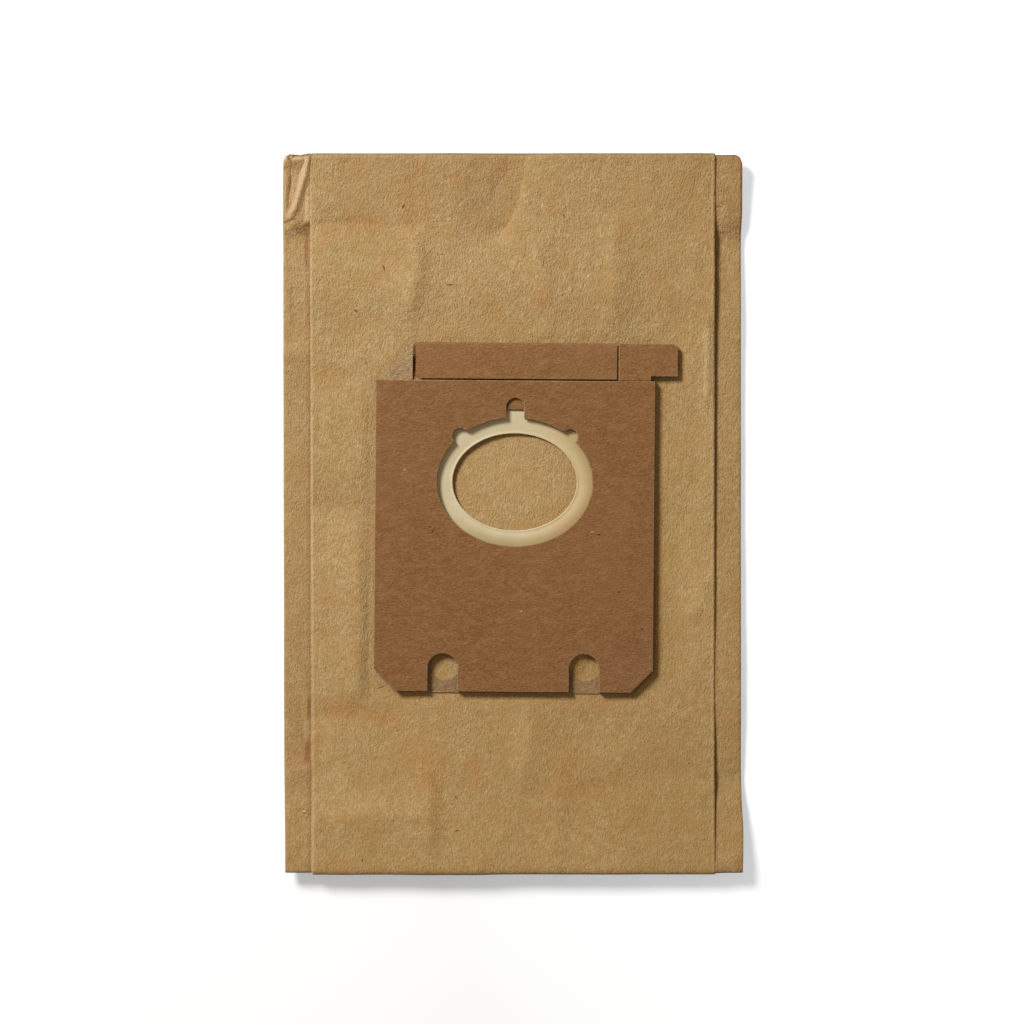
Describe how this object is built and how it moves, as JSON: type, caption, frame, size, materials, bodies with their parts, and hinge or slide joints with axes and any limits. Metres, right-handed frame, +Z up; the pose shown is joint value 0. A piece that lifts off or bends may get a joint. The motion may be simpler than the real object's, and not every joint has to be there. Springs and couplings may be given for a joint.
{
  "type": "vacuum dust bag",
  "caption": "Flat paper dust bag for a vacuum cleaner, side gussets folded in, with a layered card collar, an oval rubber-lipped mouth, pin slots, a grip strip and a pull tag",
  "frame": {"origin": "on the ground under the middle of the bag's length and width", "axes": "X across the bag, Y along it towards the grip strip's end, Z up out of the collar"},
  "size_m": [0.169, 0.267, 0.0063],
  "materials": {
    "kraft_paper": "matte",
    "grey_card": "matte",
    "brown_card": "matte",
    "cream_rubber": "satin"
  },
  "bodies": {
    "root": {"paper_bag": "kraft_paper", "back_board": "grey_card", "seal_membrane": "cream_rubber", "spacer_board": "brown_card", "front_board": "brown_card"}
  },
  "joints": []
}
